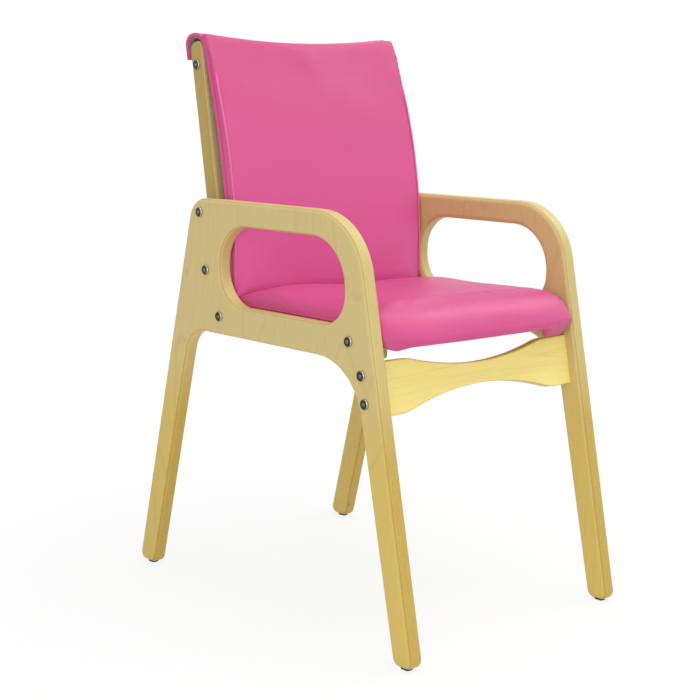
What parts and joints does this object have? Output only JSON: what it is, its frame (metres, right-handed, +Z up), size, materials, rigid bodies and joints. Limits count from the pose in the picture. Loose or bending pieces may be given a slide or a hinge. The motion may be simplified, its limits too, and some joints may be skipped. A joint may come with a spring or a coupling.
{
  "type": "school armchair",
  "caption": "Plywood school armchair: splayed side panels that are legs and arms in one, rounded hand openings, waisted front rail, padded vinyl seat and back hooked over leaning posts.",
  "frame": {"origin": "on the floor, midway between the side panels and between the front and rear feet", "axes": "+Z up, the sitter faces -Y, +X to the sitter's left"},
  "size_m": [0.4464, 0.6119, 0.8303],
  "materials": {
    "panel_ply": "clear lacquer on birch plywood, pale faces with banded edges",
    "post_wood": "clear lacquer on solid birch",
    "rail_wood": "clear lacquer, straight grain along the rail",
    "board_ply": "plain plywood",
    "batten_wood": "plain sawn wood",
    "pink_vinyl": "satin pink upholstery vinyl over foam",
    "pink_shell": "satin pink upholstery vinyl over a thin stiff board",
    "grey_lining": "dark grey backing cloth",
    "steel": "bright zinc-plated steel",
    "glide": "black plastic"
  },
  "bodies": {
    "root": {"side_panel_right": "panel_ply", "side_panel_left": "panel_ply", "back_upright_right": "post_wood", "back_upright_left": "post_wood", "back_lower_rail": "rail_wood", "back_top_rail": "rail_wood", "front_rail": "rail_wood", "seat_board": "board_ply", "seat_bearer_right": "batten_wood", "seat_bearer_left": "batten_wood", "seat_cushion": "pink_vinyl", "back_cushion": "pink_vinyl", "back_shell": "pink_shell", "back_lining": "grey_lining", "glide_front_right": "glide", "glide_rear_right": "glide", "glide_front_left": "glide", "glide_rear_left": "glide", "front_rail_bolts": "steel", "seat_bolts": "steel", "upright_bolts": "steel", "lower_rail_bolts": "steel", "top_rail_bolts": "steel", "front_rail_nuts": "steel", "back_rail_nuts": "steel", "seat_nuts": "steel", "upright_inserts": "steel", "bearer_screws": "steel", "glide_pins": "steel"}
  },
  "joints": []
}
